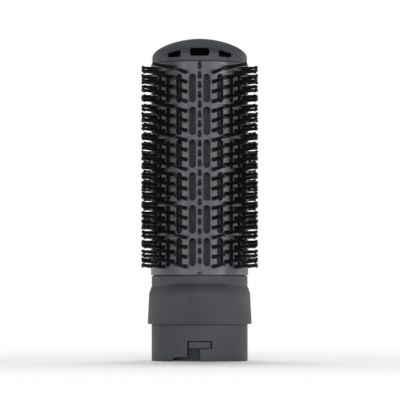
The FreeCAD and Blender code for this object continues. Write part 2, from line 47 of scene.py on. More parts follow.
# The sleeve's oval: tight arcs front and rear, wide arcs left and right, 48 steps round it.
END_RADIUS = 23.5 * MM
SIDE_RADIUS = 39.5 * MM
END_SWEEP = math.radians(47.5)
STEPS = 48
HALF = STEPS // 2
QUARTER = STEPS // 4
SPREAD = SIDE_RADIUS - END_RADIUS
END_CENTRE = SPREAD * math.cos(END_SWEEP)
SIDE_CENTRE = SPREAD * math.sin(END_SWEEP)
STEP_LENGTH = (END_RADIUS * END_SWEEP + SIDE_RADIUS * (math.pi / 2 - END_SWEEP)) / QUARTER

SLEEVE_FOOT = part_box("barrel_sleeve")[0].z
SLEEVE_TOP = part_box("barrel_sleeve")[1].z
SLEEVE_WALL = 1.2 * MM
COLLAR_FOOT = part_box("collar")[0].z
CAP_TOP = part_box("end_cap")[1].z


def oval(step):
    """The point on the oval at a step, and the outward normal there."""
    turned = step % STEPS
    folded = turned % HALF
    folded = min(folded, HALF - folded)
    length = folded * STEP_LENGTH
    if length <= END_RADIUS * END_SWEEP:
        angle = length / END_RADIUS
        centre = Vector((0, -END_CENTRE, 0))
        radius = END_RADIUS
    else:
        angle = END_SWEEP + (length - END_RADIUS * END_SWEEP) / SIDE_RADIUS
        centre = Vector((-SIDE_CENTRE, 0, 0))
        radius = SIDE_RADIUS
    normal = Vector((math.sin(angle), -math.cos(angle), 0))
    point = centre + normal * radius
    mirror = Vector((-1 if turned > HALF else 1, -1 if QUARTER < turned < HALF + QUARTER else 1, 0))
    return point * mirror, normal * mirror


def on_sleeve(step, height, depth):
    """A point under the sleeve's face."""
    point, normal = oval(step)
    point = point - normal * depth
    return Vector((point.x, point.y, height))


def on_circle(step, radius, height):
    """A point of a ring whose points face the same ways as the oval's."""
    normal = oval(step)[1]
    return Vector((normal.x * radius, normal.y * radius, height))


def add_object(name, bm, smooth_angle=35):
    """An object from a bmesh, welded, with its faces outward and smooth up to an angle."""
    bmesh.ops.remove_doubles(bm, verts=bm.verts, dist=2e-6)
    bmesh.ops.recalc_face_normals(bm, faces=bm.faces)
    mesh = bpy.data.meshes.new(name)
    bm.to_mesh(mesh)
    bm.free()
    obj = bpy.data.objects.new(name, mesh)
    bpy.context.scene.collection.objects.link(obj)
    smooth(obj, smooth_angle)
    return obj


def smooth(obj, angle):
    for polygon in obj.data.polygons:
        polygon.use_smooth = True
    obj.data.set_sharp_from_angle(angle=math.radians(angle))


def join_rings(bm, rings, closed=True):
    """Quads between rings of points, one after another."""
    rows = [[bm.verts.new(point) for point in ring] for ring in rings]
    for below, above in zip(rows, rows[1:]):
        count = len(below)
        for i in range(count if closed else count - 1):
            j = (i + 1) % count
            bm.faces.new((below[i], below[j], above[j], above[i]))
    return rows


def close_rings(bm, rings):
    """A closed body from rings that lead back to the first one."""
    join_rings(bm, rings + rings[:1])


def carve(obj, cutters, angle=35):
    """Takes the cutters away from an object."""
    for cutter in cutters:
        modifier = obj.modifiers.new("Carve", "BOOLEAN")
        modifier.operation = "DIFFERENCE"
        modifier.solver = "EXACT"
        modifier.object = cutter
    graph = bpy.context.evaluated_depsgraph_get()
    mesh = bpy.data.meshes.new_from_object(obj.evaluated_get(graph))
    obj.modifiers.clear()
    obj.data = mesh
    for cutter in cutters:
        bpy.data.objects.remove(cutter)
    smooth(obj, angle)


def upright_prism(name, outline, end, near, far):
    """A prism along Y at one end of the part, -1 or 1, from an outline in the XZ plane."""
    near, far = sorted((end * near, end * far))
    bm = bmesh.new()
    front = [bm.verts.new((x, near, z)) for x, z in outline]
    back = [bm.verts.new((x, far, z)) for x, z in outline]
    bm.faces.new(front)
    bm.faces.new(back[::-1])
    for i in range(len(outline)):
        j = (i + 1) % len(outline)
        bm.faces.new((front[j], front[i], back[i], back[j]))
    return add_object(name, bm)


def rounded(corners, radius, cuts=4):
    """An outline with each corner rounded off by an arc of that radius."""
    outline = []
    for i, corner in enumerate(corners):
        here = Vector(corner)
        back = (Vector(corners[i - 1]) - here).normalized()
        ahead = (Vector(corners[(i + 1) % len(corners)]) - here).normalized()
        half = back.angle(ahead) / 2
        reach = radius / math.tan(half)
        centre = here + (back + ahead).normalized() * (radius / math.sin(half))
        start = here + back * reach - centre
        turn = start.angle_signed(here + ahead * reach - centre)
        for k in range(cuts + 1):
            angle = -turn * k / cuts
            x = start.x * math.cos(angle) - start.y * math.sin(angle)
            y = start.x * math.sin(angle) + start.y * math.cos(angle)
            outline.append((centre.x + x, centre.y + y))
    return outline


# Materials.

NOISE_RANGE = (0.3, 0.7)


def remap(tree, value, start, end, interpolation="LINEAR"):
    """A value carried from one range, low and high, to another."""
    node = tree.nodes.new("ShaderNodeMapRange")
    node.interpolation_type = interpolation
    node.inputs["From Min"].default_value, node.inputs["From Max"].default_value = start
    node.inputs["To Min"].default_value, node.inputs["To Max"].default_value = end
    tree.links.new(value, node.inputs["Value"])
    return node.outputs["Result"]


class Surface:
    """A principled material with helpers for its nodes."""

    def __init__(self, name, color, roughness, metallic=0.0, specular=0.5):
        self.material = bpy.data.materials.new(name)
        self.material.use_nodes = True
        self.tree = self.material.node_tree
        self.shader = self.tree.nodes["Principled BSDF"]
        self.shader.inputs["Base Color"].default_value = (*color, 1)
        self.shader.inputs["Roughness"].default_value = roughness
        self.shader.inputs["Metallic"].default_value = metallic
        self.shader.inputs["Specular IOR Level"].default_value = specular
        self.place = self.tree.nodes.new("ShaderNodeTexCoord").outputs["Object"]

    def link(self, output, socket):
        self.tree.links.new(output, socket)

    def scaled(self, scale):
        """The object's coordinates, scaled."""
        mapping = self.tree.nodes.new("ShaderNodeMapping")
        mapping.inputs["Scale"].default_value = scale
        self.link(self.place, mapping.inputs["Vector"])
        return mapping.outputs["Vector"]

    def noise(self, scale, detail=3.0, stretch=(1, 1, 1)):
        node = self.tree.nodes.new("ShaderNodeTexNoise")
        node.inputs["Scale"].default_value = scale
        node.inputs["Detail"].default_value = detail
        self.link(self.scaled(stretch), node.inputs["Vector"])
        return node.outputs["Fac"]

    def ramp(self, value, low, high, low_color, high_color):
        """A colour that runs from one to the other as a value goes from low to high."""
        node = self.tree.nodes.new("ShaderNodeValToRGB")
        first, last = node.color_ramp.elements
        first.position = low
        last.position = high
        first.color = (*low_color, 1)
        last.color = (*high_color, 1)
        self.link(value, node.inputs["Fac"])
        return node.outputs["Color"]

    def spread(self, value, low, high):
        """A number that runs from low to high with a noise."""
        return remap(self.tree, value, NOISE_RANGE, (low, high))

    def bump(self, height, strength, distance):
        node = self.tree.nodes.new("ShaderNodeBump")
        node.inputs["Strength"].default_value = strength
        node.inputs["Distance"].default_value = distance
        self.link(height, node.inputs["Height"])
        previous = self.shader.inputs["Normal"].links
        if previous:
            self.link(previous[0].from_socket, node.inputs["Normal"])
        self.link(node.outputs["Normal"], self.shader.inputs["Normal"])

    def color(self, output):
        self.link(output, self.shader.inputs["Base Color"])

    def roughness(self, output):
        self.link(output, self.shader.inputs["Roughness"])


def shade(color, factor):
    return [part * factor for part in color]


def moulded(name, color, roughness, grain=0.6, specular=0.5):
    """Moulded plastic: a fine spark-eroded grain, faint flow marks and handled patches."""
    surface = Surface(name, color, roughness, specular=specular)
    flow = surface.noise(scale=38, detail=4, stretch=(1, 1, 0.45))
    surface.color(surface.ramp(flow, 0.32, 0.7, shade(color, 0.88), shade(color, 1.12)))
    handled = surface.noise(scale=70, detail=5)
    surface.roughness(surface.spread(handled, roughness - 0.06, roughness + 0.07))
    surface.bump(surface.noise(scale=2600, detail=2), strength=grain, distance=0.04 * MM)
    surface.bump(surface.noise(scale=420, detail=3), strength=0.25, distance=0.06 * MM)
    return surface.material


def satin_metal(name, color, roughness):
    """Coated aluminium sheet: drawing marks up its length and a speckle in the coat."""
    surface = Surface(name, color, roughness, metallic=0.9)
    marks = surface.noise(scale=900, detail=3, stretch=(1, 1, 0.03))
    cloud = surface.noise(scale=55, detail=4, stretch=(1, 1, 0.5))
    tone = surface.tree.nodes.new("ShaderNodeMix")
    tone.data_type = "RGBA"
    tone.blend_type = "MULTIPLY"
    tone.inputs["Factor"].default_value = 1.0
    clouded = surface.ramp(cloud, 0.3, 0.7, shade(color, 0.9), shade(color, 1.1))
    surface.link(clouded, tone.inputs["A"])
    surface.link(surface.ramp(marks, 0.35, 0.65, (0.93,) * 3, (1, 1, 1)), tone.inputs["B"])
    surface.color(tone.outputs["Result"])
    surface.roughness(surface.spread(marks, roughness - 0.05, roughness + 0.06))
    surface.bump(marks, strength=0.25, distance=0.03 * MM)
    surface.bump(surface.noise(scale=1800, detail=2), strength=0.2, distance=0.03 * MM)
    return surface.material


def mesh_screen(name, wire, hole):
    """A fine woven screen: dark holes in rows, on a lighter wire."""
    surface = Surface(name, wire, 0.6, specular=0.3)
    cells = surface.tree.nodes.new("ShaderNodeTexVoronoi")
    cells.inputs["Scale"].default_value = 900
    cells.inputs["Randomness"].default_value = 0.25
    surface.link(surface.place, cells.inputs["Vector"])
    surface.color(surface.ramp(cells.outputs["Distance"], 0.3, 0.6, hole, wire))
    surface.roughness(surface.spread(surface.noise(scale=300), 0.5, 0.7))
    surface.bump(cells.outputs["Distance"], strength=0.4, distance=0.2 * MM)
    return surface.material


HOUSING = moulded("charcoal_plastic", (0.036, 0.039, 0.046), 0.5, specular=0.45)
SLEEVE = satin_metal("satin_sleeve", (0.143, 0.147, 0.16), 0.36)
PINS = moulded("black_nylon", (0.0035, 0.0038, 0.0045), 0.34, grain=0.3, specular=0.3)
DUCT = moulded("dark_duct_plastic", (0.045, 0.046, 0.05), 0.6)
# Darker than the housing: the liner's plastic with painted shade, so the track entries and rim
# notches read dark.
LINER_WITH_SHADE = moulded("dark_liner_painted_shade", (0.014, 0.015, 0.017), 0.55, grain=1.0)
# Near-black: the vent grilles' own plastic, and painted shade on the cap's inner faces.
GRILLE_AND_INNER_SHADE = moulded("dark_grille_and_painted_shade", (0.006, 0.0062, 0.007), 0.8, specular=0.1)
SCREEN = mesh_screen("fine_screen", (0.05, 0.051, 0.055), (0.012, 0.012, 0.014))

# Nodes that keep the shape they have in the CAD.
CARRIED_OVER = {
    "air_duct": DUCT,
    "strip_ring_1": DUCT,
    "strip_ring_2": DUCT,
    "strip_ring_3": DUCT,
    "duct_baffle": DUCT,
    "vent_grille_front": GRILLE_AND_INNER_SHADE,
    "vent_grille_rear": GRILLE_AND_INNER_SHADE,
}

for node, material in CARRIED_OVER.items():
    for slot in NODES[node].material_slots:
        slot.material = material


def finish_piece(obj, material, slot, *nodes):
    """Gives a piece its material, the nodes that it replaces and its body; its slot is not used."""
    obj.data.materials.clear()
    obj.data.materials.append(material)
    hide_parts(*nodes)
    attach(obj, "root")


# Sleeve: one mesh cell for each slot, from one column of pins to the next, with plain cells at
# the sides and a band above and below.

SLOT_ROWS = 6
SLOT_FOOT = SLEEVE_FOOT + 4.9 * MM
SLOT_TOP = SLEEVE_TOP - 7.2 * MM
SLOT_LAND = 2.6 * MM
SLOT_PITCH = (SLOT_TOP + SLOT_LAND - SLOT_FOOT) / SLOT_ROWS
SLOT_RADIUS = 1.9 * MM
SLOT_REACH = (SLOT_PITCH - SLOT_LAND) / 2
SLOT_STRAIGHT = SLOT_REACH - SLOT_RADIUS
SLOT_ROUND = 0.28 * MM
SLOT_ROUND_MIDDLE = 0.08 * MM
SLOT_RIM = 0.45 * MM
CELL_REACH = SLOT_PITCH / 2
CELL_SHOULDER = (SLOT_STRAIGHT + CELL_REACH) / 2
ARC_CUTS = 8
SIDE_HEIGHTS = (0.5 * SLOT_STRAIGHT, 0.0, -0.5 * SLOT_STRAIGHT)
PLAIN_COLUMNS = (QUARTER - 1, QUARTER + 1, HALF + QUARTER - 1, HALF + QUARTER + 1)
NOTCH_REACH = 1.35 * MM
NOTCH_TOP = SLEEVE_FOOT + 1.55 * MM
EDGE = 0.15 * MM


def slot_ring(offset):
    """The slot's outline moved outward, as offsets along the sleeve and up it."""
    radius = SLOT_RADIUS + offset
    ring = []
    for side in (1, -1):
        for i in range(ARC_CUTS + 1):
            angle = math.pi * i / ARC_CUTS
            x = radius * math.cos(angle)
            z = SLOT_STRAIGHT + radius * math.sin(angle)
            ring.append((side * x, side * z))
        ring += [(-side * radius, side * z) for z in SIDE_HEIGHTS]
    return ring


def cell_ring():
    """The cell's border, with one point for each point of the slot's outline."""
    half = STEP_LENGTH
    ring = []
    for side in (1, -1):
        top = [
            (half, SLOT_STRAIGHT),
            (half, CELL_SHOULDER),
            (half, CELL_REACH),
            (half / 2, CELL_REACH),
            (0.0, CELL_REACH),
            (-half / 2, CELL_REACH),
            (-half, CELL_REACH),
            (-half, CELL_SHOULDER),
            (-half, SLOT_STRAIGHT),
        ]
        ring += [(side * x, side * z) for x, z in top]
        ring += [(-side * half, side * z) for z in SIDE_HEIGHTS]
    return ring


def add_slot_cell(bm, step, middle):
    """A cell with a slot through it, whose outer edge is rounded."""
    rings = [
        (cell_ring(), SLEEVE_WALL),
        (slot_ring(0), SLEEVE_WALL),
        (slot_ring(0), SLOT_ROUND),
        (slot_ring(SLOT_ROUND_MIDDLE), SLOT_ROUND_MIDDLE),
        (slot_ring(SLOT_ROUND), 0.0),
        (slot_ring(SLOT_RIM), 0.0),
        (cell_ring(), 0.0),
    ]
    join_rings(bm, [
        [on_sleeve(step + x / STEP_LENGTH, middle + z, depth) for x, z in ring]
        for ring, depth in rings
    ])


def add_plain_cell(bm, step, middle):
    """A cell with no slot, whose border has the same points as its neighbours' borders."""
    upper = [CELL_REACH, CELL_SHOULDER, SLOT_STRAIGHT, SIDE_HEIGHTS[0]]
    heights = upper + [0.0] + [-z for z in reversed(upper)]
    for depth in (0.0, SLEEVE_WALL):
        join_rings(bm, [
            [on_sleeve(step + k / 2, middle + z, depth) for k in range(-2, 3)] for z in heights
        ], closed=False)


def half_steps(notched):
    """Places round the sleeve at every half step; the ones by the notch move up to it."""
    places = [k / 2 for k in range(2 * STEPS)]
    if notched:
        places[1] = NOTCH_REACH / STEP_LENGTH
        places[-1] = -NOTCH_REACH / STEP_LENGTH
    return places


def add_band(bm, profile, notch_rows=()):
    """A band all round from a profile of heights and depths."""
    rows = []
    for index, (height, depth) in enumerate(profile):
        places = half_steps(index in notch_rows)
        rows.append([bm.verts.new(on_sleeve(step, height, depth)) for step in places])
    for index, (below, above) in enumerate(zip(rows, rows[1:])):
        for i in range(len(below)):
            j = (i + 1) % len(below)
            by_notch = i in (0, len(below) - 1)
            if by_notch and index in notch_rows and index + 1 in notch_rows:
                continue
            bm.faces.new((below[i], below[j], above[j], above[i]))
    return rows


def make_sleeve():
    """The sleeve, open at both ends, with a small notch in the front of its lower edge."""
    bm = bmesh.new()
    for row in range(SLOT_ROWS):
        middle = SLOT_FOOT + SLOT_REACH + row * SLOT_PITCH
        for step in range(1, STEPS, 2):
            if step in PLAIN_COLUMNS:
                add_plain_cell(bm, step, middle)
            else:
                add_slot_cell(bm, step, middle)
    low = SLOT_FOOT - SLOT_LAND / 2
    high = low + SLOT_ROWS * SLOT_PITCH
    lower = [
        (low, SLEEVE_WALL),
        (NOTCH_TOP, SLEEVE_WALL),
        (SLEEVE_FOOT, SLEEVE_WALL),
        (SLEEVE_FOOT, EDGE),
        (SLEEVE_FOOT + EDGE, 0.0),
        (NOTCH_TOP, 0.0),
        (low, 0.0),
    ]
    rows = add_band(bm, lower, (1, 2, 3, 4, 5))
    # The notch's two sides and its roof, and then the points left over inside it.
    for i in (1, -1):
        bm.faces.new([row[i] for row in rows[1:6]])
    for i, j in ((-1, 0), (0, 1)):
        bm.faces.new((rows[1][i], rows[1][j], rows[5][j], rows[5][i]))
    for row in rows[2:5]:
        bm.verts.remove(row[0])
    add_band(bm, [
        (high, 0.0),
        ((high + SLEEVE_TOP) / 2, 0.0),
        (SLEEVE_TOP - EDGE, 0.0),
        (SLEEVE_TOP, EDGE),
        (SLEEVE_TOP, SLEEVE_WALL),
        (high, SLEEVE_WALL),
    ])
    sleeve = add_object("sleeve_skin", bm, 40)
    finish_piece(sleeve, SLEEVE, "sleeve", "barrel_sleeve")


# Pin strips: a rail behind the sleeve, with round pins whose tips are balls.

SLIT_FOOT = SLEEVE_FOOT + 3.3 * MM
SLIT_TOP = SLEEVE_TOP - 2.1 * MM
RAIL_REACH = 1.7 * MM
RAIL_FRONT = 1.35 * MM
RAIL_BACK = 2.55 * MM
RAIL_EDGE = 0.3 * MM
PIN_PITCH = 5.46 * MM
SIDE_PIN_PITCH = 4.36 * MM
SIDE_PIN_REACH = 5.7 * MM
PIN_RISE = 0.07
PIN_FOOT = 4.7 * MM
PIN_TOP_MARGIN = 3.3 * MM
PIN_SIDES = 14
PIN_BASE_HEIGHT = 0.35 * MM
PIN_BASE_TAPER = 0.97
BALL_CUTS = 7

# Radii of a pin at its root, at its neck and at the ball.
THICK_PIN = (1.25 * MM, 0.7 * MM, 1.08 * MM)
THIN_PIN = (0.75 * MM, 0.42 * MM, 0.85 * MM)

# From the front to the side: the step, the pins' reach in mm, and whether the pins stand half
# a pitch higher.
COLUMNS = [(0, 17.0, True), (2, 18.3, False), (4, 17.7, True), (6, 14.9, False), (8, 9.2, True)]
QUADRANTS = ("front_right", "rear_right", "rear_left", "front_left")


def pin_profile(reach, root, neck, ball):
    """Distances from the sleeve's face, and the pin's radius there."""
    stem_end = reach - ball - math.sqrt(ball * ball - neck * neck)
    profile = [(-RAIL_FRONT, root), (0.0, root), (PIN_BASE_HEIGHT, root * PIN_BASE_TAPER)]
    for part in (0.25, 0.5, 0.75):
        profile.append((stem_end * part, root + (neck - root) * part))
    profile.append((stem_end, neck))
    start = math.pi - math.asin(neck / ball)
    for k in range(1, BALL_CUTS):
        angle = start * (1 - k / BALL_CUTS)
        profile.append((reach - ball + ball * math.cos(angle), ball * math.sin(angle)))
    return profile


def add_pin(bm, placement, height, profile, tip):
    """A round pin along +Y of the placement, with a slight rise."""
    rings = []
    for distance, radius in profile:
        ring = []
        for i in range(PIN_SIDES):
            angle = 2 * math.pi * i / PIN_SIDES
            x = radius * math.cos(angle)
            z = height + PIN_RISE * distance + radius * math.sin(angle)
            ring.append(placement @ Vector((x, distance, z)))
        rings.append(ring)
    rows = join_rings(bm, rings)
    bm.faces.new(rows[0])
    point = bm.verts.new(placement @ Vector((0, tip, height + PIN_RISE * tip)))
    last = rows[-1]
    for i in range(PIN_SIDES):
        bm.faces.new((last[i], last[(i + 1) % PIN_SIDES], point))


def add_rail(bm, placement):
    """A rail with chamfered long edges."""
    section = [
        (-RAIL_REACH, -RAIL_BACK + RAIL_EDGE),
        (-RAIL_REACH + RAIL_EDGE, -RAIL_BACK),
        (RAIL_REACH - RAIL_EDGE, -RAIL_BACK),
        (RAIL_REACH, -RAIL_BACK + RAIL_EDGE),
        (RAIL_REACH, -RAIL_FRONT),
        (-RAIL_REACH, -RAIL_FRONT),
    ]
    rings = [[placement @ Vector((x, y, z)) for x, y in section] for z in (SLIT_FOOT, SLIT_TOP)]
    rows = join_rings(bm, rings)
    for row in rows:
        bm.faces.new(row)


def make_strip(name, step, reach, pitch, foot, radii):
    """A strip at a step of the oval: its rail, and pins from its foot up."""
    point, normal = oval(step)
    turn = math.atan2(normal.y, normal.x) - math.pi / 2
    placement = Matrix.Translation(point) @ Matrix.Rotation(turn, 4, "Z")
    bm = bmesh.new()
    add_rail(bm, placement)
    profile = pin_profile(reach, *radii)
    length = SLEEVE_TOP - SLEEVE_FOOT
    for k in range(math.floor((length - foot - PIN_TOP_MARGIN) / pitch) + 1):
        add_pin(bm, placement, SLEEVE_FOOT + foot + k * pitch, profile, reach)
    strip = add_object(f"pins_{name}", bm, 50)
    finish_piece(strip, PINS, "pins", f"strip_{name}")


def make_strips():
    """The front and rear strips, four in each quadrant, and one at each side."""
    for number, (step, reach, raised) in enumerate(COLUMNS):
        foot = PIN_FOOT + (PIN_PITCH / 2 if raised else 0)
        if number == 0:
            places = {"front": 0, "rear": HALF}
        else:
            steps = (step, HALF - step, HALF + step, STEPS - step)
            places = {f"{quadrant}_{number}": at for quadrant, at in zip(QUADRANTS, steps)}
        for name, at in places.items():
            make_strip(name, at, reach * MM, PIN_PITCH, foot, THICK_PIN)
    for name, at in (("right", QUARTER), ("left", HALF + QUARTER)):
        make_strip(name, at, SIDE_PIN_REACH, SIDE_PIN_PITCH, PIN_FOOT, THIN_PIN)


# End cap: an upright wall under a smooth dome, a shallow panel with three vents front and
# rear, and a skirt inside the sleeve.

CAP_FOOT = SLEEVE_TOP
CAP_INSET = 0.7 * MM
CAP_WALL = 4.0 * MM
CAP_RINGS = 30
SKIRT_FOOT = SLEEVE_TOP - 2.4 * MM
SKIRT_INSET = 3.0 * MM
SHADOW_GAP = 0.2 * MM
PANEL_FOOT = CAP_FOOT + 2.35 * MM
PANEL_HALF = 24.3 * MM
PANEL_RISE = 5.55 * MM
PANEL_DEPTH = 0.32 * MM
PANEL_CUTS = 16
PANEL_CLEARANCE = 4 * MM
CAP_BORE_INSET = 4.9 * MM
CAP_CUT = (9 * MM, 40 * MM)
FINE_STEPS = [k / 4 for k in range(4 * STEPS)]

# The dome's outline is a Bezier curve: the share of the oval and of the height at its points.
DOME_SHARES = (1.0, 1.0, 0.48, 0.0)
DOME_CLIMBS = (0.0, 0.47, 1.0, 1.0)


def cap_outline(scale, height, inset):
    """The oval, moved inward and then scaled."""
    ring = []
    for step in FINE_STEPS:
        point, normal = oval(step)
        point = point - normal * inset
        ring.append(Vector((point.x * scale, point.y * scale, height)))
    return ring


def dome_rings(inset):
    """Rings up the wall and over the dome, to just short of its top."""
    rise = CAP_TOP - CAP_FOOT - CAP_WALL - inset
    rings = []
    for k in range(CAP_RINGS):
        t = k / CAP_RINGS
        weights = ((1 - t) ** 3, 3 * t * (1 - t) ** 2, 3 * t * t * (1 - t), t ** 3)
        scale = sum(w * share for w, share in zip(weights, DOME_SHARES))
        climb = sum(w * part for w, part in zip(weights, DOME_CLIMBS))
        rings.append(cap_outline(scale, CAP_FOOT + CAP_WALL + rise * climb, CAP_INSET + inset))
    return rings


def close_top(bm, ring, height):
    """Triangles from a ring up to a point on the axis."""
    top = bm.verts.new((0, 0, height))
    for i in range(len(ring)):
        bm.faces.new((ring[i], ring[(i + 1) % len(ring)], top))


def panel_cutter(end):
    """What lies in front of the panel: the panel's outline, less a dome that is a little smaller."""
    radius = (PANEL_HALF * PANEL_HALF + PANEL_RISE * PANEL_RISE) / (2 * PANEL_RISE)
    sweep = math.asin(PANEL_HALF / radius)
    outline = []
    for k in range(2 * PANEL_CUTS + 1):
        angle = sweep * (1 - k / PANEL_CUTS)
        drop = radius * (1 - math.cos(angle))
        outline.append((radius * math.sin(angle), PANEL_FOOT + PANEL_RISE - drop))
    cutter = upright_prism("panel_cutter", outline, end, *CAP_CUT)
    bm = bmesh.new()
    low = cap_outline(1, CAP_FOOT - PANEL_CLEARANCE, CAP_INSET + PANEL_DEPTH)
    rows = join_rings(bm, [low] + dome_rings(PANEL_DEPTH))
    bm.faces.new(rows[0][::-1])
    close_top(bm, rows[-1], CAP_TOP - PANEL_DEPTH)
    carve(cutter, [add_object("panel_face", bm)])
    return cutter


def cap_vents():
    """The outlines of the vents: a round-cornered oblong between two that narrow outward."""
    half = 5.45 * MM
    low = CAP_FOOT + 3.0 * MM
    high = low + 4.5 * MM
    middle = rounded([(-half, low), (half, low), (half, high), (-half, high)], 1.4 * MM)
    near = 10.7 * MM
    far = 17.8 * MM
    low = CAP_FOOT + 2.6 * MM
    side = rounded([
        (near, low),
        (far, low),
        (far, low + 2.2 * MM),
        (near, low + 3.9 * MM),
    ], 0.8 * MM)
    other = [(-x, z) for x, z in reversed(side)]
    return middle, side, other


def make_cap():
    bm = bmesh.new()
    outside = [
        cap_outline(1, SKIRT_FOOT, SKIRT_INSET),
        cap_outline(1, CAP_FOOT - SHADOW_GAP, SKIRT_INSET),
        cap_outline(1, CAP_FOOT - SHADOW_GAP, CAP_INSET + 0.9 * MM),
        cap_outline(1, CAP_FOOT + 0.25 * MM, CAP_INSET + 0.6 * MM),
        cap_outline(1, CAP_FOOT + 0.3 * MM, CAP_INSET + 0.15 * MM),
        cap_outline(1, CAP_FOOT + 0.5 * MM, CAP_INSET),
    ]
    outside += dome_rings(0)
    rows = join_rings(bm, outside)
    close_top(bm, rows[-1], CAP_TOP)
    hollow = [
        outside[0],
        cap_outline(1, SKIRT_FOOT, CAP_BORE_INSET),
        cap_outline(1, CAP_FOOT + 2.6 * MM, CAP_BORE_INSET),
        cap_outline(1, CAP_FOOT + 7.4 * MM, 7.0 * MM),
        cap_outline(1, CAP_FOOT + 10.0 * MM, 10.5 * MM),
        cap_outline(1, CAP_FOOT + 10.5 * MM, 13.7 * MM),
    ]
    rows = join_rings(bm, hollow)
    bm.faces.new(rows[-1])
    cap = add_object("cap_dome", bm, 30)

    carve(cap, [panel_cutter(end) for end in (-1, 1)], 30)
    cutters = []
    for end in (-1, 1):
        for outline in cap_vents():
            cutters.append(upright_prism("vent_cutter", outline, end, *CAP_CUT))
    carve(cap, cutters, 30)
    finish_piece(cap, HOUSING, "housing", "end_cap")
    # The cap's second material is painted shade for its hollow, seen through the vents.
    cap.data.materials.append(GRILLE_AND_INNER_SHADE)
    paint_shade_inside(cap)


def paint_shade_inside(cap):
    """Paints shade on the faces that look inward, or down inside the cap, by giving them its second,
    near-black material.
    """
    for polygon in cap.data.polygons:
        centre = polygon.center
        inward = Vector((centre.x, centre.y, 0)).dot(polygon.normal) < 0
        overhead = polygon.normal.z < -0.2 and centre.z > CAP_FOOT + 1.5 * MM
        if inward or overhead:
            polygon.material_index = 1


# Collar: round at its lower edge, oval at its neck, with a shoulder and a step between them.

COLLAR_RADIUS = 29.65 * MM
COLLAR_BORE = 27.0 * MM
COLLAR_LIP = COLLAR_FOOT + 0.4 * MM
COLLAR_SEAT = COLLAR_FOOT + 10 * MM
COLLAR_CUTS = 12
SHOULDER = COLLAR_FOOT + 17.0 * MM
SHOULDER_FLARE = 1.1 * MM
SHOULDER_CURVE = 1.33
NECK = SHOULDER + 4.5 * MM
NECK_INSET = 0.4 * MM
THROAT_RADIUS = 19.0 * MM
THROAT_FOOT_RADIUS = 21.6 * MM
SLEEVE_STOP = SLEEVE_FOOT + 2.6 * MM

# The valley starts where the outward normal has this share along Y, and is full a span later.
VALLEY_START = 0.5
VALLEY_SPAN = 0.42


def collar_ring(share, height, depth, valley=0.0):
    """A ring between the round foot, at share 0, and the oval, at share 1.

    The valley lies under the front and the rear only, and runs out towards the sides.
    """
    ring = []
    for step in FINE_STEPS:
        facing = abs(oval(step)[1].y)
        amount = min(max((facing - VALLEY_START) / VALLEY_SPAN, 0.0), 1.0)
        sunk = depth + valley * amount * amount * (3 - 2 * amount)
        low = on_circle(step, COLLAR_RADIUS - sunk, height)
        high = on_sleeve(step, height, sunk)
        ring.append(low.lerp(high, share))
    return ring


def neck_rings():
    """A fine groove round the neck's foot, the neck above it, and the lip inside the sleeve."""
    inset = NECK_INSET
    return [
        collar_ring(1, NECK + 0.06 * MM, inset + 0.02 * MM, 1.45 * MM),
        collar_ring(1, NECK + 0.08 * MM, inset + 0.04 * MM, 3.1 * MM),
        collar_ring(1, NECK + 0.9 * MM, inset + 0.04 * MM, 3.1 * MM),
        collar_ring(1, NECK + 0.93 * MM, inset + 0.02 * MM, 1.6 * MM),
        collar_ring(1, NECK + 1.1 * MM, inset, 1.4 * MM),
        collar_ring(1, NECK + 1.6 * MM, inset, 1.1 * MM),
        collar_ring(1, NECK + 2.8 * MM, inset, 0.75 * MM),
        collar_ring(1, NECK + 4.4 * MM, inset, 0.5 * MM),
        collar_ring(1, SLEEVE_FOOT - 0.65 * MM, inset, 0.4 * MM),
        collar_ring(1, SLEEVE_FOOT - 0.5 * MM, inset + 0.15 * MM, 0.4 * MM),
        collar_ring(1, SLEEVE_FOOT - 0.48 * MM, inset + 0.2 * MM, 1.1 * MM),
        collar_ring(1, SLEEVE_FOOT, 1.8 * MM),
        collar_ring(1, SLEEVE_FOOT + 2.3 * MM, 1.8 * MM),
        collar_ring(1, SLEEVE_STOP, 2.1 * MM),
    ]


def make_collar():
    rings = [
        collar_ring(0, COLLAR_FOOT, COLLAR_RADIUS - COLLAR_BORE),
        collar_ring(0, COLLAR_FOOT, 0.35 * MM),
        collar_ring(0, COLLAR_FOOT + 0.1 * MM, 0.1 * MM),
        collar_ring(0, COLLAR_LIP, 0.0),
    ]
    shares = [k / COLLAR_CUTS for k in range(1, COLLAR_CUTS + 1)]
    for share in shares:
        height = COLLAR_LIP + (SHOULDER - COLLAR_LIP) * share
        rings.append(collar_ring(share, height, -SHOULDER_FLARE * share))
    for share in shares:
        drop = (SHOULDER_FLARE + NECK_INSET) * share ** SHOULDER_CURVE
        height = SHOULDER + (NECK - SHOULDER) * share
        rings.append(collar_ring(1, height, drop - SHOULDER_FLARE, 1.3 * MM * share ** 2))
    rings += neck_rings()
    for radius, height in (
        (THROAT_RADIUS, SLEEVE_STOP),
        (THROAT_FOOT_RADIUS, COLLAR_SEAT),
        (COLLAR_BORE, COLLAR_SEAT),
    ):
        rings.append([on_circle(step, radius, height) for step in FINE_STEPS])
    bm = bmesh.new()
    close_rings(bm, rings)
    collar = add_object("collar_shell", bm, 30)
    finish_piece(collar, HOUSING, "housing", "collar")


# Bayonet socket: a round tube with an L-shaped lug track front and rear, and a notch in its
# rim beside each entry. Behind it is a liner, with a pad in each track's level run.

